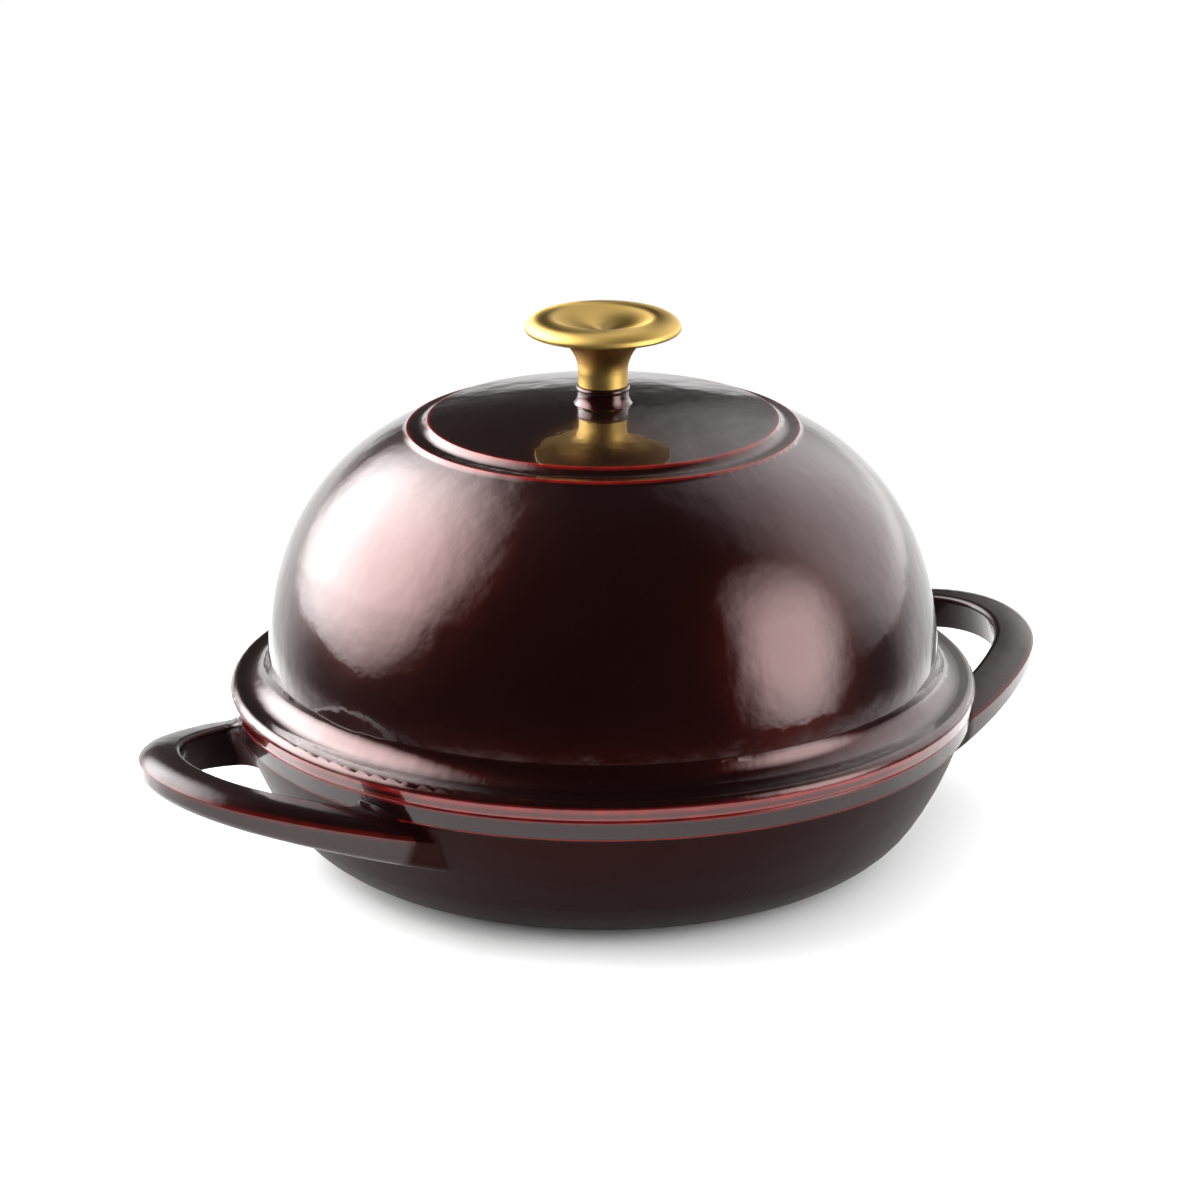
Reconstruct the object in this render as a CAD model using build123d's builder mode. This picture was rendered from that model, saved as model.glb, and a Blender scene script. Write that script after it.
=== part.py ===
"""Cast iron bread pot: a shallow pan with two loop handles, a tall domed lid and a brass knob."""
import os
from math import atan2, cos, degrees, hypot, radians, sin, sqrt, tan

from build123d import *

os.makedirs("parts", exist_ok=True)

# Origin at the centre of the pan's base, on the table; X along the handles, Z up; millimetres.

# Pan
pan_height = 54.5
rim_radius = 130.6
rim_band_height = 7.2
rim_band_draft = 4.0
rim_edge_round = 0.9
rim_ledge_width = 8.0
cove_drop = 1.6
body_step = 2.2
side_slope_top = 16.2
side_slope_low = 33.3
side_arc_radius = 111.0
pan_wall = 4.6
pan_floor = 5.0

# Loop handles, cast with the pan
handle_projection = 46.2
handle_tip_drop = -0.5
handle_rise_angle = 12.0
handle_tip_radius = 54.0
handle_tip_sweep = 50.0
handle_arm_radius = 135.0
handle_arm_sweep = 36.0
handle_band_width = 14.0
handle_crown = 5.6
handle_under_tip = 6.0
handle_under_angle = 15.5
handle_under_draft = 16.0
handle_under_round = 3.0
handle_lip_round = 2.0
handle_root_round = 4.0

# Lid
lid_seat_gap = 0.3
flange_overhang = 1.4
flange_edge_height = 3.9
flange_thickness = 6.8
flange_edge_inset = 0.7
flange_round = 2.6
flange_cove_radius = 8.0
dome_inset = 4.1
dome_side_radius = 104.0
dome_side_sweep = 23.7
dome_shoulder_radius = 76.0
dome_shoulder_sweep = 42.9
step_riser_angle = 62.0
step_cove_radius = 3.3
ledge_width = 3.5
ledge_slope = 5.0
plateau_cove_radius = 4.8
plateau_curve_radius = 345.0
lid_wall = 4.6
ceiling_slope = 12.0
pad_radius = 11.0
pad_drop = 1.2
lip_clearance = 0.8
lip_width = 4.0
lip_depth = 3.5

# Boss for the knob on top of the lid
boss_height = 6.2
boss_top_radius = 9.4
boss_foot_radius = 10.2
boss_waist_radius = 9.0
boss_lip = 1.6

# Knob
knob_radius = 27.2
knob_crest_radius = 19.8
knob_crest_rise = 4.5
knob_dish_depth = 5.2
knob_crest_round = 6.0
knob_edge_round = 0.8
knob_stem_radius = 8.65
knob_height = 25.0
knob_stem_height = 5.1
knob_flare_radius = 13.6
knob_flare_sweep = 74.0
knob_foot_round = 0.5

# Screw and washers under the knob
screw_radius = 3.0
screw_hole_clearance = 0.4
screw_engagement = 12.0
thread_clearance = 0.05
tapped_depth_spare = 3.0
screw_head_radius = 6.0
screw_head_height = 3.4
screw_head_crown_radius = 11.0
screw_slot_width = 1.4
screw_slot_depth = 1.5
washer_radius = 8.0
washer_thickness = 1.6
spring_washer_radius = 5.6
spring_washer_thickness = 1.5
spring_washer_split = 1.2


# Heights and places that follow from the sizes above
lid_base = pan_height + lid_seat_gap
cavity_mouth_radius = rim_radius - rim_ledge_width
handle_reach = rim_radius + handle_projection
flange_radius = rim_radius + flange_overhang
dome_radius = cavity_mouth_radius - dome_inset
body_top_radius = rim_radius - rim_band_height * tan(radians(rim_band_draft)) - body_step
body_top_height = pan_height - rim_band_height - cove_drop
handle_tilt = radians(handle_rise_angle)
lip_outer_radius = cavity_mouth_radius - lip_clearance


def slope_direction(angle):
    """Unit direction in the XZ plane, the angle counted from +X towards +Z."""
    return (cos(radians(angle)), sin(radians(angle)))


def corner_radius_to_floor(start_height, slope, floor_height):
    """Radius of the arc that turns a wall of this slope into a flat floor."""
    return (start_height - floor_height) / (1 - sin(radians(slope)))


def side_drop():
    """Height lost along the upper arc of the pan's side."""
    return side_arc_radius * (sin(radians(side_slope_low)) - sin(radians(side_slope_top)))


# The pan's outside: rim band, cove, curved side and flat base
corner_radius = corner_radius_to_floor(body_top_height - side_drop(), side_slope_low, 0)
with BuildPart() as pan_body:
    with BuildSketch(Plane.XZ):
        with BuildLine():
            band_foot = (
                rim_radius - rim_band_height * tan(radians(rim_band_draft)),
                pan_height - rim_band_height,
            )
            rim_top = Line((0, pan_height), (rim_radius, pan_height))
            band = Line(rim_top @ 1, band_foot)
            cove = Line(band @ 1, (body_top_radius, body_top_height))
            side = JernArc(
                start=cove @ 1,
                tangent=slope_direction(-90 - side_slope_top),
                radius=side_arc_radius,
                arc_size=side_slope_top - side_slope_low,
            )
            corner = JernArc(
                start=side @ 1,
                tangent=side % 1,
                radius=corner_radius,
                arc_size=side_slope_low - 90,
            )
            Polyline(corner @ 1, (0, 0), (0, pan_height))
        make_face()
    revolve(axis=Axis.Z)

# The same side without its rim, which the handles are blended into before the rim goes on
with BuildPart() as pan_flank:
    with BuildSketch(Plane.XZ):
        with BuildLine():
            flank_top_radius = rim_radius - rim_edge_round
            flank_top = Line((0, pan_height), (flank_top_radius, pan_height))
            Line(flank_top @ 1, cove @ 1)
            add([side, corner])
            Polyline(corner @ 1, (0, 0), (0, pan_height))
        make_face()
    revolve(axis=Axis.Z)


# One loop handle on the +X side, as crowned slices about its parting plane
handle_tip = Vector(handle_reach, 0, pan_height - handle_tip_drop)
parting_plane = Plane(
    origin=handle_tip,
    x_dir=(cos(handle_tilt), 0, sin(handle_tilt)),
    z_dir=(-sin(handle_tilt), 0, cos(handle_tilt)),
)


def handle_face(inset, height):
    """The handle's outline, drawn in by the inset, at a height above its parting plane."""
    with BuildSketch(parting_plane.offset(height)) as face:
        with BuildLine():
            tip = CenterArc(
                center=(-handle_tip_radius, 0),
                radius=handle_tip_radius - inset,
                start_angle=0,
                arc_size=handle_tip_sweep,
            )
            arm = JernArc(
                start=tip @ 1,
                tangent=tip % 1,
                radius=handle_arm_radius - inset,
                arc_size=handle_arm_sweep,
            )
            Line(arm @ 1, ((arm @ 1).X, 0))
            mirror(about=Plane.XZ)
        make_face()
    return face.sketch


crown_shape = [(0.0, 0.0), (0.35, 1.1), (0.68, 3.6), (0.9, 7.2), (1.0, 11.5)]
crown_faces = [handle_face(inset, rise * handle_crown) for rise, inset in crown_shape]
under_point = handle_tip - parting_plane.z_dir * handle_under_tip
under_tilt = radians(handle_under_angle)
under_plane = Plane(
    origin=under_point,
    x_dir=(cos(under_tilt), 0, sin(under_tilt)),
    z_dir=(-sin(under_tilt), 0, cos(under_tilt)),
)
under_axis = Axis(under_point, under_plane.z_dir)
with BuildPart() as handle_loop:
    loft(sections=crown_faces)
    extrude(handle_face(0, 0), amount=-pan_height, taper=handle_under_draft)
    split(bisect_by=under_plane, keep=Keep.TOP)
    under_face = handle_loop.faces().sort_by(under_axis)[0]
    fillet(under_face.edges().filter_by(GeomType.LINE, reverse=True), handle_under_round)
    opening_faces = handle_face(handle_band_width, 0)
    extrude(opening_faces, amount=pan_height, both=True, mode=Mode.SUBTRACT)
    crown_top = handle_loop.faces().sort_by(Axis(handle_tip, parting_plane.z_dir))[-1]
    fillet(crown_top.edges().filter_by(GeomType.CIRCLE), handle_lip_round)


# The pan: outside and both handles, then the cavity and the rim
def slope_normal(slope):
    """Unit direction into the wall of this slope, the slope counted from the vertical."""
    return Vector(-cos(radians(slope)), sin(radians(slope)))


def is_opening_corner(edge):
    """True for the upright edges where a handle's opening ends at the pan's side."""
    middle = edge @ 0.5
    beside_the_pan = abs(hypot(middle.X, middle.Y) - body_top_radius) < handle_band_width / 2
    within_the_arms = handle_tip_radius / 2 < abs(middle.Y) < handle_tip_radius
    upright = abs((edge % 0.5).Z) > 0.5
    return beside_the_pan and within_the_arms and upright and edge.length > handle_crown


with BuildPart() as base_pan:
    add(pan_flank.part)
    add(handle_loop.part)
    add(handle_loop.part.rotate(Axis.Z, 180))
    fillet(base_pan.edges().filter_by(is_opening_corner), handle_root_round)
    add(pan_body.part)
    with BuildSketch(Plane.XZ):
        with BuildLine():
            inner_start = Vector(body_top_radius, body_top_height) + slope_normal(side_slope_top) * pan_wall
            mouth = Line((0, pan_height), (cavity_mouth_radius, pan_height))
            mouth_wall = Line(mouth @ 1, inner_start)
            inner_side = JernArc(
                start=mouth_wall @ 1,
                tangent=slope_direction(-90 - side_slope_top),
                radius=side_arc_radius - pan_wall,
                arc_size=side_slope_top - side_slope_low,
            )
            inner_corner = JernArc(
                start=inner_side @ 1,
                tangent=inner_side % 1,
                radius=corner_radius_to_floor((inner_side @ 1).Y, side_slope_low, pan_floor),
                arc_size=side_slope_low - 90,
            )
            Polyline(inner_corner @ 1, (0, pan_floor), (0, pan_height))
        make_face()
    revolve(axis=Axis.Z, mode=Mode.SUBTRACT)
    rim_edges = base_pan.edges().filter_by(GeomType.CIRCLE).filter_by_position(
        Axis.Z, pan_height, pan_height
    )
    fillet(rim_edges, rim_edge_round)
base_pan.part.label = "base_pan"
export_step(base_pan.part, "parts/base_pan.step")


# Lid: flange, dome, two coved steps and the crowned plateau, hollowed and bored
flange_top_edge = (flange_radius - flange_round, lid_base + flange_thickness)
with BuildPart() as lid_dome:
    with BuildSketch(Plane.XZ):
        with BuildLine():
            skirt = Line(
                (flange_radius - flange_edge_inset, lid_base),
                (flange_radius, lid_base + flange_edge_height),
            )
            shoulder_round = RadiusArc(skirt @ 1, flange_top_edge, -flange_round * 1.1)
            dome_start = (dome_radius, lid_base + flange_thickness + flange_cove_radius)
            cove_start = (dome_radius + flange_cove_radius, lid_base + flange_thickness)
            Line(shoulder_round @ 1, cove_start)
            RadiusArc(cove_start, dome_start, flange_cove_radius)
            dome_flank = JernArc(dome_start, (0, 1), dome_side_radius, dome_side_sweep)
            dome_shoulder = JernArc(
                dome_flank @ 1, dome_flank % 1, dome_shoulder_radius, dome_shoulder_sweep
            )
            shoulder_slope = 90 - dome_side_sweep - dome_shoulder_sweep
            step_cove = JernArc(
                dome_shoulder @ 1,
                dome_shoulder % 1,
                step_cove_radius,
                shoulder_slope - step_riser_angle,
            )
            ledge = PolarLine(step_cove @ 1, ledge_width, 180 - ledge_slope)
            plateau_cove = JernArc(
                ledge @ 1, ledge % 1, plateau_cove_radius, ledge_slope - step_riser_angle
            )
            plateau_edge = plateau_cove @ 1
            plateau_drop = plateau_curve_radius - sqrt(plateau_curve_radius**2 - plateau_edge.X**2)
            plateau_top = plateau_edge.Y + plateau_drop
            RadiusArc(plateau_edge, (0, plateau_top), -plateau_curve_radius)
            Polyline((0, plateau_top), (0, lid_base), skirt @ 0)
        make_face()
    revolve(axis=Axis.Z)

    # The boss that the knob stands on
    foot_sag = plateau_curve_radius - sqrt(plateau_curve_radius**2 - boss_foot_radius**2)
    boss_base = plateau_top - foot_sag
    boss_top = plateau_top + boss_height
    with BuildSketch(Plane.XZ):
        with BuildLine():
            foot = Line((0, plateau_top - lid_wall / 2), (boss_foot_radius, boss_base))
            waist = (boss_waist_radius, boss_top - boss_lip * 1.6)
            lip_low = (boss_top_radius, boss_top - boss_lip * 0.6)
            flank = RadiusArc(foot @ 1, waist, boss_height)
            lip_curve = RadiusArc(flank @ 1, lip_low, boss_lip)
            lip_round = RadiusArc(lip_curve @ 1, (boss_waist_radius, boss_top), -boss_lip)
            Polyline(lip_round @ 1, (0, boss_top), foot @ 0)
        make_face()
    revolve(axis=Axis.Z)

    # The hollow under the dome
    with BuildSketch(Plane.XZ):
        with BuildLine():
            lip_inner = Line((0, lid_base), (lip_outer_radius - lip_width, lid_base))
            hollow_wall = Line(lip_inner @ 1, (dome_radius - lid_wall, dome_start[1]))
            hollow_flank = JernArc(
                hollow_wall @ 1, (0, 1), dome_side_radius - lid_wall, dome_side_sweep
            )
            hollow_shoulder = JernArc(
                hollow_flank @ 1,
                hollow_flank % 1,
                dome_shoulder_radius - lid_wall,
                90 - dome_side_sweep - ceiling_slope,
            )
            ceiling_radius = (hollow_shoulder @ 1).X / sin(radians(ceiling_slope))
            ceiling = JernArc(
                hollow_shoulder @ 1, hollow_shoulder % 1, ceiling_radius, ceiling_slope
            )
            Line(ceiling @ 1, (0, lid_base))
        make_face()
    revolve(axis=Axis.Z, mode=Mode.SUBTRACT)
    ceiling_height = (ceiling @ 1).Y

    # The ring that keeps the lid in the pan's mouth, and the flat pad for the washers
    with BuildSketch(Plane.XY.offset(lid_base - lip_depth)):
        Circle(lip_outer_radius)
        Circle(lip_outer_radius - lip_width, mode=Mode.SUBTRACT)
    extrude(amount=lip_depth + flange_edge_height / 2)
    with BuildSketch(Plane.XY.offset(ceiling_height - pad_drop)):
        Circle(pad_radius)
    extrude(amount=pad_drop + lid_wall / 2)
    with BuildSketch(Plane.XY.offset(ceiling_height - pad_drop)):
        Circle(screw_radius + screw_hole_clearance)
    extrude(amount=boss_top, mode=Mode.SUBTRACT)
lid_dome.part.label = "lid_dome"
export_step(lid_dome.part, "parts/lid_dome.step")


# Knob: a turned stem that flares into a dished disc, tapped from below
with BuildPart() as lid_knob:
    knob_top = boss_top + knob_height
    widest_height = knob_top - knob_crest_rise
    dish_slope = 2 * atan2(knob_dish_depth, knob_crest_radius)
    bowl_radius = knob_crest_radius / sin(dish_slope) - knob_crest_round
    with BuildSketch(Plane.XZ):
        with BuildLine():
            foot_line = Line((0, boss_top), (knob_stem_radius, boss_top))
            stem = Line(foot_line @ 1, (knob_stem_radius, boss_top + knob_stem_height))
            flare = JernArc(stem @ 1, (0, 1), knob_flare_radius, -knob_flare_sweep)
            under_edge = (knob_radius - knob_edge_round, widest_height - knob_edge_round)
            underside = Line(flare @ 1, under_edge)
            edge = RadiusArc(underside @ 1, (knob_radius, widest_height), -knob_edge_round)
            brim = EllipticalCenterArc(
                center=(knob_crest_radius, widest_height),
                x_radius=knob_radius - knob_crest_radius,
                y_radius=knob_crest_rise,
                start_angle=0,
                arc_size=90,
            )
            crest = JernArc(
                (knob_crest_radius, knob_top), (-1, 0), knob_crest_round, degrees(dish_slope)
            )
            bowl = JernArc(crest @ 1, crest % 1, bowl_radius, -degrees(dish_slope))
            Polyline(bowl @ 1, (0, boss_top))
        make_face()
    revolve(axis=Axis.Z)
    foot_edge = lid_knob.edges().filter_by(GeomType.CIRCLE).sort_by(Axis.Z)[0]
    fillet(foot_edge, knob_foot_round)
    with BuildSketch(Plane.XY.offset(boss_top)):
        Circle(screw_radius + thread_clearance)
    extrude(amount=screw_engagement + tapped_depth_spare, mode=Mode.SUBTRACT)
lid_knob.part.label = "lid_knob"
export_step(lid_knob.part, "parts/lid_knob.step")


# Fastening under the dome: washer, split spring washer and slotted screw
pad_height = ceiling_height - pad_drop
with BuildPart() as flat_washer:
    with BuildSketch(Plane.XY.offset(pad_height)):
        Circle(washer_radius)
        Circle(screw_radius + screw_hole_clearance, mode=Mode.SUBTRACT)
    extrude(amount=-washer_thickness)
flat_washer.part.label = "flat_washer"
export_step(flat_washer.part, "parts/flat_washer.step")

with BuildPart() as spring_washer:
    with BuildSketch(Plane.XY.offset(pad_height - washer_thickness)):
        Circle(spring_washer_radius)
        Circle(screw_radius + screw_hole_clearance, mode=Mode.SUBTRACT)
        with Locations((spring_washer_radius, 0)):
            Rectangle(spring_washer_radius, spring_washer_split, mode=Mode.SUBTRACT)
    extrude(amount=-spring_washer_thickness)
spring_washer.part.label = "spring_washer"
export_step(spring_washer.part, "parts/spring_washer.step")

head_top = pad_height - washer_thickness - spring_washer_thickness
with BuildPart() as knob_screw:
    with BuildSketch(Plane.XZ):
        with BuildLine():
            head_foot = (0, head_top - screw_head_height)
            head_rim = (screw_head_radius, head_top - screw_head_height / 2)
            head_crown = RadiusArc(head_foot, head_rim, screw_head_crown_radius)
            Polyline(
                head_crown @ 1,
                (screw_head_radius, head_top),
                (screw_radius, head_top),
                (screw_radius, boss_top + screw_engagement),
                (0, boss_top + screw_engagement),
                head_foot,
            )
        make_face()
    revolve(axis=Axis.Z)
    with BuildSketch(Plane.XY.offset(head_top - screw_head_height)):
        Rectangle(screw_head_radius * 2, screw_slot_width)
    extrude(amount=screw_slot_depth, mode=Mode.SUBTRACT)
knob_screw.part.label = "knob_screw"
export_step(knob_screw.part, "parts/knob_screw.step")
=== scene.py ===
"""Looks of the cast iron bread pot: enamel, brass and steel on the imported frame, with a studio round it."""
import math

import bpy
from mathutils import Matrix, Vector

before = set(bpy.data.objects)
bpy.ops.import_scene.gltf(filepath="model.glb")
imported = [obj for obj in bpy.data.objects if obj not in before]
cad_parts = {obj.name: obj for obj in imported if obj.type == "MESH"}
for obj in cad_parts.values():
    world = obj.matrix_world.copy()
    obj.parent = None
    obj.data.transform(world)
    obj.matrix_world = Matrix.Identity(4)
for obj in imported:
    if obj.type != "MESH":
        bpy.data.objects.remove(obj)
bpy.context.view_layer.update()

bl_info = {
    "name": "Cast Iron Bread Pot",
    "version": (1, 0, 0),
    "blender": (4, 5, 0),
    "location": "View3D > Sidebar > Bread Pot",
    "description": "Finishes and studio for an enamelled cast iron bread pot",
    "category": "Object",
}

MM = 0.001

# Widths of the patches in the outside enamel
WORN_PATCH = 9.091 * MM
GLAZE_CLOUD = 38.46 * MM
SAND_WAVE = 26.32 * MM
ORANGE_PEEL = 5.882 * MM
PINHOLE_CELL = 13.33 * MM

# Widths in the inside enamel and the metals. Grit and hair lines are too fine to show at their real size,
# taken as about a tenth of a millimetre or less, so both are drawn coarser
INSIDE_CLOUD = 25.0 * MM
INSIDE_GRIT = 0.625 * MM
METAL_BLOTCH = 8.333 * MM
BRASS_LINE = 0.5 * MM
STEEL_LINE = 0.3 * MM

# How many times as bright the pale clouds of each enamel are, and the dark lines of the metals
GLAZE_CLOUD_TINT = 1.7
INSIDE_CLOUD_TINT = 2.2
METAL_LINE_TINT = 0.86

# The noise that breaks the worn lines is stretched and lowered, so that some of it wears nothing through
WORN_GAIN = 1.5
WORN_DROP = -0.1

# Roughness of the inside enamel, what its clouds add to it, and what the hair lines add to a metal's
INSIDE_ROUGHNESS = 0.45
CLOUD_ROUGHNESS = 0.2
LINE_ROUGHNESS = 0.12

# Share of a metal's tone that comes from its hair lines; the blotches give the rest
LINE_SHARE = 0.6

# Pinholes: the share of cells without one, and the hole's radius as a share of its cell
CELLS_WITHOUT_HOLE = 0.9
HOLE_RADIUS = 0.05

# Relief of the orange peel and the pinholes, as shares of the waves from the sand mould
PEEL_HEIGHT = 0.16
HOLE_DEPTH = 0.35

# Half width of the worn line along a handle's ridge, and how strongly its red shows
RIDGE_WIDTH = 1.8 * MM
RIDGE_STRENGTH = 0.4


# Small helpers for colours and nodes
def linear_colour(hex_text):
    """An sRGB hex colour as linear RGBA."""
    values = [int(hex_text[i:i + 2], 16) / 255 for i in (1, 3, 5)]
    linear = [v / 12.92 if v <= 0.04045 else ((v + 0.055) / 1.055) ** 2.4 for v in values]
    return (*linear, 1.0)


def add_node(material, kind, links=None, **settings):
    """Adds a node, sets its properties or sockets by name, and links {socket: source}."""
    tree = material.node_tree
    node = tree.nodes.new(kind)
    for name, value in settings.items():
        if hasattr(node, name):
            setattr(node, name, value)
        else:
            node.inputs[name.replace("_", " ")].default_value = value
    for socket, source in (links or {}).items():
        tree.links.new(source, node.inputs[socket])
    return node


def new_material(name):
    """An empty node material with its Principled shader and output joined."""
    material = bpy.data.materials.new(name)
    material.use_nodes = True
    return material, material.node_tree.nodes["Principled BSDF"]


def maths(material, operation, first, second=None, third=None, clamp=False):
    """A Math node on numbers or sockets; gives its output socket."""
    node = material.node_tree.nodes.new("ShaderNodeMath")
    node.operation = operation
    node.use_clamp = clamp
    for index, value in enumerate((first, second, third)):
        if value is None:
            continue
        if hasattr(value, "is_output"):
            material.node_tree.links.new(value, node.inputs[index])
        else:
            node.inputs[index].default_value = value
    return node.outputs[0]


def length_of(material, first, second):
    """Length of the two components together."""
    squares = [maths(material, "MULTIPLY", part, part) for part in (first, second)]
    return maths(material, "SQRT", maths(material, "ADD", *squares))


def fade(material, distance, width):
    """1 where the distance is 0, falling to 0 at the width."""
    share = maths(material, "DIVIDE", maths(material, "ABSOLUTE", distance), width)
    return maths(material, "SUBTRACT", 1.0, share, clamp=True)


def rise_between(material, value, low, high):
    """0 below the low value and 1 above the high one, with a soft slope between."""
    node = add_node(material, "ShaderNodeMapRange", {"Value": value}, interpolation_type="SMOOTHSTEP")
    node.inputs["From Min"].default_value = low
    node.inputs["From Max"].default_value = high
    return node.outputs["Result"]


def near_ring(material, radius, height, ring_radius, ring_height, width):
    """1 on a ring about the Z axis, fading to 0 at the width."""
    across = maths(material, "SUBTRACT", radius, ring_radius)
    along = maths(material, "SUBTRACT", height, ring_height)
    return fade(material, length_of(material, across, along), width)


def mix_colours(material, factor, first, second):
    """A blend of two colours, given as linear RGBA or sockets."""
    node = add_node(material, "ShaderNodeMix", {"Factor": factor}, data_type="RGBA")
    for index, value in ((6, first), (7, second)):
        if hasattr(value, "is_output"):
            material.node_tree.links.new(value, node.inputs[index])
        else:
            node.inputs[index].default_value = value
    return node.outputs[2]


class BreadPotFinish(bpy.types.PropertyGroup):
    """Colours of the finishes, as sRGB hex."""
    enamel: bpy.props.StringProperty(name="Enamel", description="Dark oxblood enamel", default="#090303")
    glaze_depth: bpy.props.StringProperty(
        name="Glaze depth", description="Red that light picks up inside the glaze", default="#ff5a48")
    thin_enamel: bpy.props.StringProperty(name="Thin enamel", description="Enamel thinned on an edge",
                                          default="#7c1614")
    matte_enamel: bpy.props.StringProperty(name="Inside enamel", description="Black enamel inside",
                                           default="#141313")
    brass: bpy.props.StringProperty(name="Brass", description="Satin gold finish", default="#deb968")
    steel: bpy.props.StringProperty(name="Steel", description="Stainless screw and washers",
                                    default="#b9b9b6")


class BreadPotSizes(bpy.types.PropertyGroup):
    """Sizes of the castings that the finishes follow."""
    joint_height: bpy.props.FloatProperty(
        name="Joint height", description="Top of the pan's rim", default=54.5 * MM, unit="LENGTH")
    rim_radius: bpy.props.FloatProperty(
        name="Rim radius", description="Outside of the pan's rim", default=130.6 * MM, unit="LENGTH")
    rim_band: bpy.props.FloatProperty(
        name="Rim band", description="Height of the band round the rim", default=7.2 * MM, unit="LENGTH")
    mouth_radius: bpy.props.FloatProperty(
        name="Mouth radius", description="Inside of the pan's rim", default=122.6 * MM, unit="LENGTH")
    floor_thickness: bpy.props.FloatProperty(
        name="Floor thickness", description="Iron under the dough", default=5.0 * MM, unit="LENGTH")
    plateau_radius: bpy.props.FloatProperty(
        name="Plateau radius", description="Edge of the raised top", default=61.4 * MM, unit="LENGTH")
    plateau_height: bpy.props.FloatProperty(
        name="Plateau height", description="Edge of the raised top above the joint",
        default=100.4 * MM, unit="LENGTH")
    step_radius: bpy.props.FloatProperty(
        name="Step radius", description="Edge of the lower step", default=68.7 * MM, unit="LENGTH")
    step_height: bpy.props.FloatProperty(
        name="Step height", description="Edge of the lower step above the joint",
        default=97.6 * MM, unit="LENGTH")
    handle_reach: bpy.props.FloatProperty(
        name="Handle reach", description="Axis to a handle's tip", default=176.8 * MM, unit="LENGTH")
    handle_lift: bpy.props.FloatProperty(
        name="Handle lift", description="Handle's ridge above the joint at the tip",
        default=0.5 * MM, unit="LENGTH")
    handle_rise: bpy.props.FloatProperty(
        name="Handle rise", description="Slope of a handle", default=math.radians(12.0), unit="ROTATION")


def put_material(node_name, materials, is_second=None):
    """Gives a frame node its materials, the second one on the faces that the test picks."""
    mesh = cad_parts[node_name].data
    mesh.materials.clear()
    for material in materials:
        mesh.materials.append(material)
    if is_second:
        picked = 0
        for face in mesh.polygons:
            face.material_index = int(is_second(face.center, face.normal))
            picked += face.material_index
        if not 0 < picked < len(mesh.polygons):
            raise ValueError(node_name + " has no faces for one of its two enamels")


def place_parts(material):
    """Object coordinates, their components and the distance from the Z axis."""
    place = add_node(material, "ShaderNodeTexCoord").outputs["Object"]
    split = add_node(material, "ShaderNodeSeparateXYZ", {"Vector": place})
    x, y, z = (split.outputs[axis] for axis in "XYZ")
    return place, x, y, z, length_of(material, x, y)


def enamel_colour(material, sizes, finish, parts):
    """Dark red, brighter in a broken line on each edge, where the glaze draws thin as it melts."""
    place, x, y, z, radius = parts
    joint = sizes.joint_height
    # Radius, height and half width of the line on each round edge
    rings = [
        (sizes.plateau_radius, joint + sizes.plateau_height, 1.3 * MM),
        (sizes.step_radius, joint + sizes.step_height, 1.2 * MM),
        (sizes.rim_radius + 1.3 * MM, joint + 3.6 * MM, 1.6 * MM),
        (sizes.rim_radius + 0.6 * MM, joint + 0.5 * MM, 1.2 * MM),
        (sizes.rim_radius - 0.3 * MM, joint - 0.5 * MM, 1.3 * MM),
        (sizes.rim_radius - 0.6 * MM, joint - sizes.rim_band, 0.6 * MM),
    ]
    worn = 0.0
    for ring_radius, ring_height, width in rings:
        worn = maths(material, "MAXIMUM", worn,
                     near_ring(material, radius, z, ring_radius, ring_height, width))

    # The soft ridge along the outside of each handle
    rise = sizes.handle_rise
    outward = maths(material, "SUBTRACT", maths(material, "ABSOLUTE", x), sizes.handle_reach)
    upward = maths(material, "SUBTRACT", z, joint + sizes.handle_lift)
    sloped = maths(material, "MULTIPLY", outward, -math.sin(rise))
    off_ridge = maths(material, "MULTIPLY_ADD", upward, math.cos(rise), sloped)
    normal = add_node(material, "ShaderNodeTexCoord").outputs["Normal"]
    facing = add_node(material, "ShaderNodeSeparateXYZ", {"Vector": normal})
    side = maths(material, "SIGN", x)
    from_gap = maths(material, "SUBTRACT", maths(material, "ABSOLUTE", x), sizes.rim_radius)
    outer = maths(material, "MULTIPLY", from_gap, maths(material, "MULTIPLY", facing.outputs["X"], side))
    outer = maths(material, "MULTIPLY_ADD", y, facing.outputs["Y"], outer)
    past_pan = maths(material, "GREATER_THAN", radius, sizes.rim_radius + 1.0 * MM)
    on_handle = maths(material, "MULTIPLY", maths(material, "GREATER_THAN", outer, 0.0), past_pan)
    ridge = maths(material, "MULTIPLY", fade(material, off_ridge, RIDGE_WIDTH), on_handle)
    worn = maths(material, "MAXIMUM", worn, maths(material, "MULTIPLY", ridge, RIDGE_STRENGTH))

    patchy = add_node(material, "ShaderNodeTexNoise", {"Vector": place}, Scale=1 / WORN_PATCH, Detail=3.0,
                      Roughness=0.6)
    broken = maths(material, "MULTIPLY_ADD", patchy.outputs["Fac"], WORN_GAIN, WORN_DROP, clamp=True)
    worn = maths(material, "MULTIPLY", worn, broken, clamp=True)

    # The glaze lies thicker and thinner in cloudy patches a few centimetres wide
    cloud = add_node(material, "ShaderNodeTexNoise", {"Vector": place}, Scale=1 / GLAZE_CLOUD, Detail=2.0)
    deep = linear_colour(finish.enamel)
    paler = tuple(part * GLAZE_CLOUD_TINT for part in deep[:3]) + (1.0,)
    body = mix_colours(material, cloud.outputs["Fac"], deep, paler)
    return mix_colours(material, worn, body, linear_colour(finish.thin_enamel))


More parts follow.
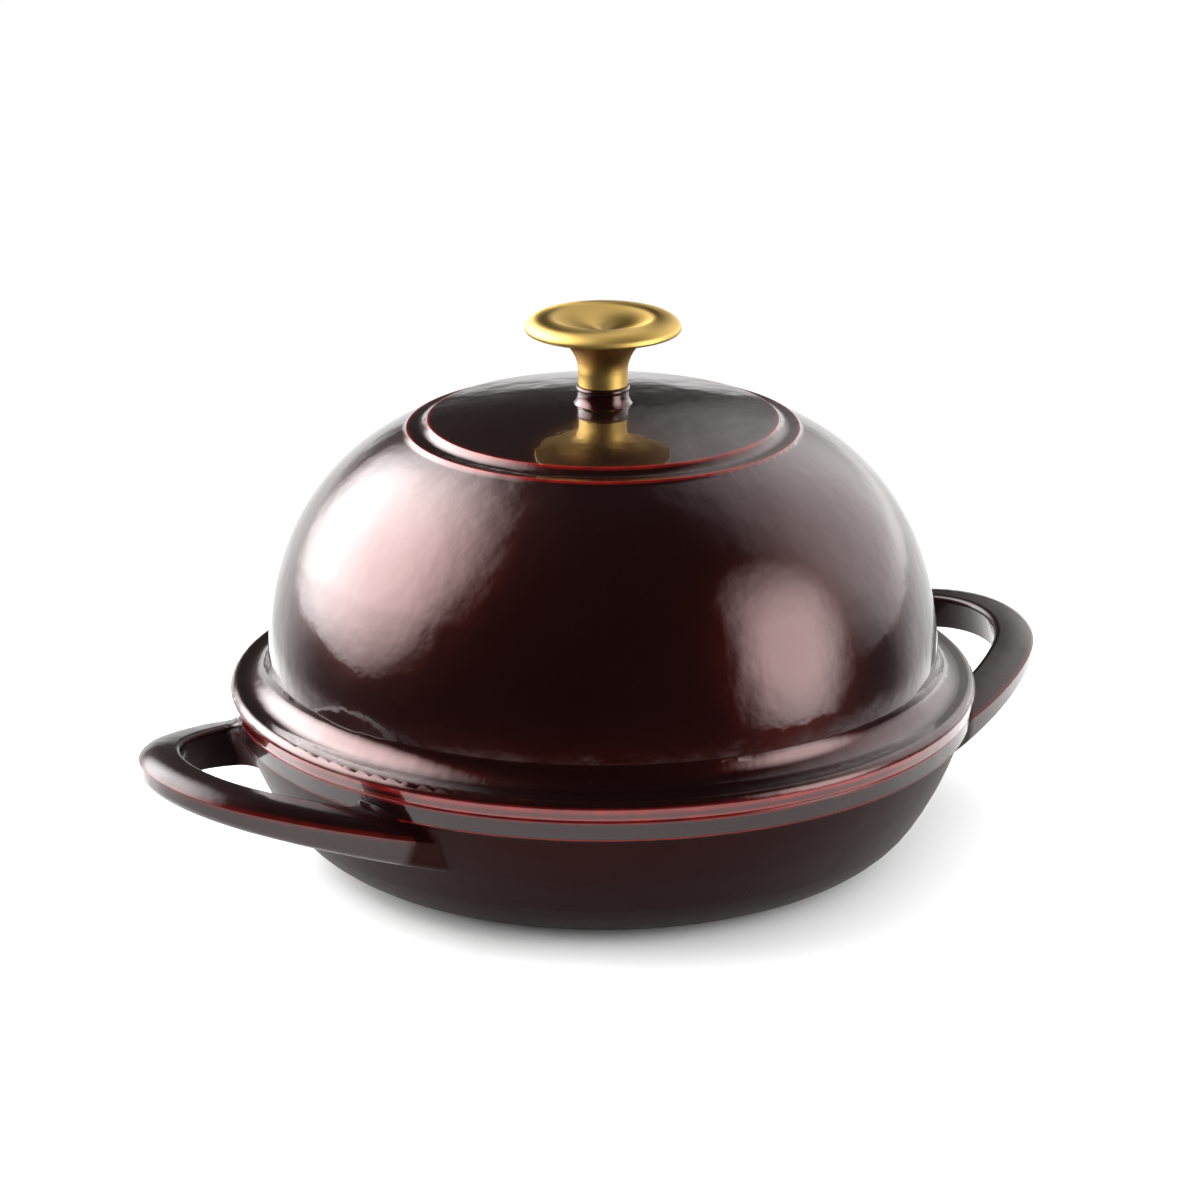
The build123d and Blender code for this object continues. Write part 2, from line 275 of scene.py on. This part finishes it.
def levelled_normal(material, sizes, z, radius):
    """The surface's direction, evened out over some millimetres where the glaze ran level on the dome."""
    past_step = rise_between(material, radius, sizes.step_radius + 4 * MM, sizes.step_radius + 12 * MM)
    above_flange = rise_between(material, z, sizes.joint_height + 14 * MM, sizes.joint_height + 24 * MM)
    on_wall = maths(material, "MULTIPLY", past_step, above_flange)
    reach = maths(material, "MULTIPLY_ADD", on_wall, 4.0 * MM, 0.4 * MM)
    return add_node(material, "ShaderNodeBevel", {"Radius": reach}, samples=4).outputs["Normal"]


def enamel_material(sizes, finish, name, skin, flank_skin, skin_roughness, ripple,
                    depth_roughness, depth_level):
    """Vitreous enamel: a clear melted skin over red glass, rippled like orange peel, with a few pinholes.

    The red specular layer under the coat is the light that comes back from inside the glaze. The skin is
    full on the dome, the rim and the handles, and can be thinner on the pan's flank below them.
    """
    material, shader = new_material(name)
    parts = place_parts(material)
    place, _, _, z, radius = parts
    colour = enamel_colour(material, sizes, finish, parts)
    material.node_tree.links.new(colour, shader.inputs["Base Color"])
    shader.inputs["Specular Tint"].default_value = linear_colour(finish.glaze_depth)
    shader.inputs["IOR"].default_value = 1.6
    shader.inputs["Roughness"].default_value = depth_roughness
    shader.inputs["Specular IOR Level"].default_value = depth_level
    past_rim = rise_between(material, radius, sizes.rim_radius, sizes.rim_radius + 3 * MM)
    rim_foot = sizes.joint_height - sizes.rim_band
    on_rim = rise_between(material, z, rim_foot - 0.5 * MM, rim_foot + 1.0 * MM)
    thick = maths(material, "MAXIMUM", past_rim, on_rim)
    weight = maths(material, "MULTIPLY_ADD", thick, skin - flank_skin, flank_skin)
    material.node_tree.links.new(weight, shader.inputs["Coat Weight"])
    shader.inputs["Coat IOR"].default_value = 1.5
    shader.inputs["Coat Roughness"].default_value = skin_roughness

    # Wide waves from the sand mould under fine orange peel, then the pinholes left by gas bubbles
    waves = add_node(material, "ShaderNodeTexNoise", {"Vector": place}, Scale=1 / SAND_WAVE, Detail=2.0,
                     Roughness=0.4)
    peel = add_node(material, "ShaderNodeTexNoise", {"Vector": place}, Scale=1 / ORANGE_PEEL, Detail=2.0)
    height = maths(material, "MULTIPLY_ADD", peel.outputs["Fac"], PEEL_HEIGHT, waves.outputs["Fac"])
    cells = add_node(material, "ShaderNodeTexVoronoi", {"Vector": place}, Scale=1 / PINHOLE_CELL)
    chance = add_node(material, "ShaderNodeSeparateColor", {"Color": cells.outputs["Color"]})
    is_hole = maths(material, "GREATER_THAN", chance.outputs["Red"], CELLS_WITHOUT_HOLE)
    hole = maths(material, "MULTIPLY", fade(material, cells.outputs["Distance"], HOLE_RADIUS), is_hole)
    height = maths(material, "MULTIPLY_ADD", hole, -HOLE_DEPTH, height)
    level = levelled_normal(material, sizes, z, radius)
    bump = add_node(material, "ShaderNodeBump", {"Height": height, "Normal": level}, Strength=1.0,
                    Distance=ripple)
    for socket in ("Normal", "Coat Normal"):
        material.node_tree.links.new(bump.outputs["Normal"], shader.inputs[socket])
    return material


def matte_enamel_material(finish):
    """Black inside enamel: dry and slightly sandy, so that highlights break up into a grey sheen."""
    material, shader = new_material("matte_black_enamel")
    place = add_node(material, "ShaderNodeTexCoord").outputs["Object"]
    dark = linear_colour(finish.matte_enamel)
    dusty = tuple(part * INSIDE_CLOUD_TINT for part in dark[:3]) + (1.0,)
    cloud = add_node(material, "ShaderNodeTexNoise", {"Vector": place}, Scale=1 / INSIDE_CLOUD, Detail=4.0)
    colour = mix_colours(material, cloud.outputs["Fac"], dark, dusty)
    material.node_tree.links.new(colour, shader.inputs["Base Color"])
    grit = add_node(material, "ShaderNodeTexNoise", {"Vector": place}, Scale=1 / INSIDE_GRIT, Detail=2.0)
    shader.inputs["IOR"].default_value = 1.5
    rough = maths(material, "MULTIPLY_ADD", cloud.outputs["Fac"], CLOUD_ROUGHNESS, INSIDE_ROUGHNESS)
    material.node_tree.links.new(rough, shader.inputs["Roughness"])
    bump = add_node(material, "ShaderNodeBump", {"Height": grit.outputs["Fac"]}, Strength=0.5,
                    Distance=0.12 * MM)
    material.node_tree.links.new(bump.outputs["Normal"], shader.inputs["Normal"])
    return material


def turned_metal(name, colour, roughness, stretch, line_pitch):
    """Metal brushed while it turned: hair lines run round the axis and drag each highlight across them."""
    material, shader = new_material(name)
    place, _, _, z, radius = place_parts(material)
    base = linear_colour(colour)
    darker = tuple(part * METAL_LINE_TINT for part in base[:3]) + (1.0,)
    # Rings: noise sampled along the radius and the height only, so it is the same all round
    along = add_node(material, "ShaderNodeCombineXYZ", {"X": radius, "Y": z})
    lines = add_node(material, "ShaderNodeTexNoise", {"Vector": along.outputs["Vector"]},
                     Scale=1 / line_pitch, Detail=2.0)
    blotch = add_node(material, "ShaderNodeTexNoise", {"Vector": place}, Scale=1 / METAL_BLOTCH, Detail=2.0)
    blotch_share = maths(material, "MULTIPLY", blotch.outputs["Fac"], 1 - LINE_SHARE)
    tone = maths(material, "MULTIPLY_ADD", lines.outputs["Fac"], LINE_SHARE, blotch_share)
    material.node_tree.links.new(mix_colours(material, tone, darker, base), shader.inputs["Base Color"])
    rough = maths(material, "MULTIPLY_ADD", lines.outputs["Fac"], LINE_ROUGHNESS, roughness)
    material.node_tree.links.new(rough, shader.inputs["Roughness"])
    bump = add_node(material, "ShaderNodeBump", {"Height": lines.outputs["Fac"]}, Strength=0.25,
                    Distance=0.03 * MM)
    material.node_tree.links.new(bump.outputs["Normal"], shader.inputs["Normal"])
    tangent = add_node(material, "ShaderNodeTangent", direction_type="RADIAL", axis="Z")
    material.node_tree.links.new(tangent.outputs["Tangent"], shader.inputs["Tangent"])
    shader.inputs["Metallic"].default_value = 1.0
    shader.inputs["Anisotropic"].default_value = stretch
    return material


def inside_pan(sizes):
    """Test for the pan's faces that carry the black enamel: the inside, the rim's top and its step."""
    def test(centre, normal):
        radius = math.hypot(centre.x, centre.y)
        if centre.z < sizes.floor_thickness * 0.9 or radius > sizes.rim_radius - 0.9 * MM:
            return False
        if centre.z > sizes.joint_height - 0.02 * MM:
            return True
        inward = centre.x * normal.x + centre.y * normal.y < -0.2 * radius
        return radius < sizes.mouth_radius + 1.2 * MM and (inward or normal.z > 0.3)
    return test


def inside_lid(sizes):
    """Test for the lid's faces that carry the black enamel: all that look down or inward."""
    def test(centre, normal):
        radius = max(math.hypot(centre.x, centre.y), MM)
        inward = (centre.x * normal.x + centre.y * normal.y) / radius < -0.3
        below_crown = centre.z < sizes.joint_height + sizes.plateau_height + 3.0 * MM
        under_dome = radius < sizes.mouth_radius and below_crown
        return (normal.z < -0.5 and radius < sizes.rim_radius) or (inward and under_dome)
    return test


class BREADPOT_OT_castings(bpy.types.Operator):
    """Enamels the pan and the lid, gloss outside and black inside"""
    bl_idname = "breadpot.castings"
    bl_label = "Enamel the castings"

    def execute(self, context):
        sizes = context.scene.breadpot_sizes
        finish = context.scene.breadpot_finish
        gloss = enamel_material(
            sizes, finish, "oxblood_enamel_gloss", skin=1.0, flank_skin=1.0, skin_roughness=0.03,
            ripple=0.55 * MM, depth_roughness=0.26, depth_level=0.3)
        satin = enamel_material(
            sizes, finish, "oxblood_enamel_pan", skin=0.8, flank_skin=0.05, skin_roughness=0.08,
            ripple=0.45 * MM, depth_roughness=0.45, depth_level=0.09)
        black = matte_enamel_material(finish)
        put_material("base_pan", [satin, black], inside_pan(sizes))
        put_material("lid_dome", [gloss, black], inside_lid(sizes))
        return {"FINISHED"}


class BREADPOT_OT_metalwork(bpy.types.Operator):
    """Gives the knob, the screw and the washers their metal"""
    bl_idname = "breadpot.metalwork"
    bl_label = "Finish the metalwork"

    def execute(self, context):
        finish = context.scene.breadpot_finish
        brass = turned_metal("satin_turned_brass", finish.brass, roughness=0.32, stretch=0.8,
                             line_pitch=BRASS_LINE)
        put_material("lid_knob", [brass])
        steel = turned_metal("stainless_steel", finish.steel, roughness=0.28, stretch=0.4,
                             line_pitch=STEEL_LINE)
        for name in ("knob_screw", "flat_washer", "spring_washer"):
            put_material(name, [steel])
        return {"FINISHED"}


# The camera that took the view, and the studio round it, turned with the camera
CAMERA_TURN = math.radians(-31.5)
CAMERA_YAW = 0.0007
CAMERA_REACH = 1.500
CAMERA_HEIGHT = 0.5846
CAMERA_TILT = math.radians(18.325)
CAMERA_LENS = 134.1
CAMERA_SENSOR = 36.0
POT_MIDDLE = Vector((0, 0, 0.1))

# The paper's radius, and the shares of it where it starts to fade and where it has gone
SHEET_RADIUS = 0.40
FADE_START = 0.5
FADE_END = 0.95

# Each screen's name, its place (degrees right of the camera, degrees up, metres away), its size in metres,
# its hot spot (height above the middle, half width and half height, as shares of the screen) and radiance
SCRIMS = (
    ("scrim_left", (-107, 33, 1.0), (2.3, 1.5), (-0.07, 0.5, 0.62), 7.4),
    ("scrim_right", (66, 18, 1.0), (1.0, 1.2), (-0.14, 0.5, 0.62), 4.5),
    ("scrim_back_right", (126, 37, 1.4), (3.2, 2.3), (-0.15, 0.55, 0.6), 1.3),
)

# The white wall that gloss sees: how squarely a ray points at it, and how steeply it climbs
WALL_EDGE = 0.3
WALL_FULL = 0.8
WALL_TOP = 0.16
WALL_FOOT = 0.02

# Light from all round on matte surfaces, and what gloss sees of the dark room
EVEN_LIGHT = 1.0
ROOM_GLOW = 0.02


def camera_side(azimuth, elevation):
    """Direction from the pot, counted from the camera's side towards its right and upwards."""
    turn = CAMERA_TURN + math.radians(azimuth)
    rise = math.radians(elevation)
    return Vector((math.sin(turn) * math.cos(rise), -math.cos(turn) * math.cos(rise), math.sin(rise)))


def scrim(name, place, size, hot_spot, radiance):
    """A diffusion screen lit from behind: a hot spot that fades towards the screen's edges."""
    azimuth, elevation, distance = place
    hot_height, half_width, half_height = hot_spot
    direction = camera_side(azimuth, elevation)
    bpy.ops.object.light_add(type="AREA", location=POT_MIDDLE + direction * distance)
    lamp = bpy.context.object
    lamp.name = name
    lamp.rotation_euler = direction.to_track_quat("Z", "Y").to_euler()
    lamp.visible_camera = False
    screen = lamp.data
    screen.shape = "RECTANGLE"
    screen.size, screen.size_y = size
    # An area lamp gives a quarter of its energy per area as radiance
    screen.energy = radiance * 4 * size[0] * size[1]
    screen.use_nodes = True
    where = add_node(screen, "ShaderNodeNewGeometry").outputs["Parametric"]
    split = add_node(screen, "ShaderNodeSeparateXYZ", {"Vector": where})
    parts = []
    for axis, middle, reach in (("X", 0.5, half_width), ("Y", 0.5 + hot_height, half_height)):
        off = maths(screen, "SUBTRACT", split.outputs[axis], middle)
        parts.append(maths(screen, "DIVIDE", off, reach))
    share = fade(screen, length_of(screen, *parts), 1.0)
    soft = rise_between(screen, share, 0.0, 0.8)
    screen.node_tree.links.new(soft, screen.node_tree.nodes["Emission"].inputs["Strength"])


class BREADPOT_OT_stage(bpy.types.Operator):
    """Adds the floor, the lamps and the camera"""
    bl_idname = "breadpot.stage"
    bl_label = "Set the stage"

    def execute(self, context):
        bpy.ops.object.select_all(action="DESELECT")
        bpy.ops.mesh.primitive_circle_add(vertices=128, radius=SHEET_RADIUS, fill_type="NGON")
        floor = context.object
        floor.name = "floor"
        self.paper(floor)
        for values in SCRIMS:
            scrim(*values)
        self.room(context)
        self.camera(context)
        context.scene.view_settings.view_transform = "Standard"
        return {"FINISHED"}

    def paper(self, floor):
        """A round of white paper, feathered to nothing at its edge so that it melts into the background."""
        paper, shader = new_material("white_paper")
        radius = place_parts(paper)[-1]
        shader.inputs["Base Color"].default_value = linear_colour("#fafafa")
        shader.inputs["Roughness"].default_value = 0.9
        shader.inputs["Specular IOR Level"].default_value = 0.1
        clear = add_node(paper, "ShaderNodeBsdfTransparent")
        edge = rise_between(paper, radius, SHEET_RADIUS * FADE_START, SHEET_RADIUS * FADE_END)
        mix = add_node(paper, "ShaderNodeMixShader", {"Fac": edge})
        paper.node_tree.links.new(shader.outputs["BSDF"], mix.inputs[1])
        paper.node_tree.links.new(clear.outputs["BSDF"], mix.inputs[2])
        paper.node_tree.links.new(mix.outputs["Shader"],
                                  paper.node_tree.nodes["Material Output"].inputs["Surface"])
        floor.data.materials.append(paper)

    def room(self, context):
        """White round the horizon behind the pot, a dark room elsewhere, and even light from all round.

        The background is white to the camera, and to gloss and glass where it stands behind the pot.
        """
        world = bpy.data.worlds.new("studio")
        context.scene.world = world
        world.use_nodes = True
        path = add_node(world, "ShaderNodeLightPath")
        direction = add_node(world, "ShaderNodeTexCoord").outputs["Generated"]
        toward = add_node(world, "ShaderNodeVectorMath", {"Vector": direction}, operation="DOT_PRODUCT")
        toward.inputs[1].default_value = camera_side(180, 0)
        wall = rise_between(world, toward.outputs["Value"], WALL_EDGE, WALL_FULL)
        upward = add_node(world, "ShaderNodeSeparateXYZ", {"Vector": direction}).outputs["Z"]
        low = rise_between(world, upward, WALL_TOP, WALL_FOOT)
        mirrored = maths(world, "MAXIMUM", path.outputs["Is Glossy Ray"],
                         path.outputs["Is Transmission Ray"])
        standing = maths(world, "MULTIPLY", wall, low)
        white = maths(world, "MAXIMUM", path.outputs["Is Camera Ray"],
                      maths(world, "MULTIPLY", mirrored, standing))
        dim = maths(world, "MULTIPLY_ADD", mirrored, ROOM_GLOW - EVEN_LIGHT, EVEN_LIGHT)
        background = world.node_tree.nodes["Background"]
        background.inputs["Color"].default_value = (1, 1, 1, 1)
        world.node_tree.links.new(maths(world, "MAXIMUM", white, dim), background.inputs["Strength"])

    def camera(self, context):
        camera_data = bpy.data.cameras.new("camera")
        camera = bpy.data.objects.new("camera", camera_data)
        context.collection.objects.link(camera)
        camera.location = camera_side(0, 0) * CAMERA_REACH + Vector((0, 0, CAMERA_HEIGHT))
        camera.rotation_euler = (math.radians(90) - CAMERA_TILT, 0, CAMERA_TURN + CAMERA_YAW)
        camera_data.lens = CAMERA_LENS
        camera_data.sensor_width = CAMERA_SENSOR
        context.scene.camera = camera


class BREADPOT_PT_panel(bpy.types.Panel):
    """Lists the steps of the pot"""
    bl_label = "Bread Pot"
    bl_space_type = "VIEW_3D"
    bl_region_type = "UI"
    bl_category = "Bread Pot"

    def draw(self, context):
        for step in STEPS:
            self.layout.operator(step.bl_idname)


STEPS = (BREADPOT_OT_castings, BREADPOT_OT_metalwork, BREADPOT_OT_stage)
CLASSES = (BreadPotFinish, BreadPotSizes, *STEPS, BREADPOT_PT_panel)


def register():
    for item in CLASSES:
        bpy.utils.register_class(item)
    bpy.types.Scene.breadpot_finish = bpy.props.PointerProperty(type=BreadPotFinish)
    bpy.types.Scene.breadpot_sizes = bpy.props.PointerProperty(type=BreadPotSizes)


def unregister():
    del bpy.types.Scene.breadpot_sizes
    del bpy.types.Scene.breadpot_finish
    for item in reversed(CLASSES):
        bpy.utils.unregister_class(item)


def main():
    register()
    bpy.ops.breadpot.castings()
    bpy.ops.breadpot.metalwork()
    bpy.ops.breadpot.stage()


if __name__ == "__main__":
    main()
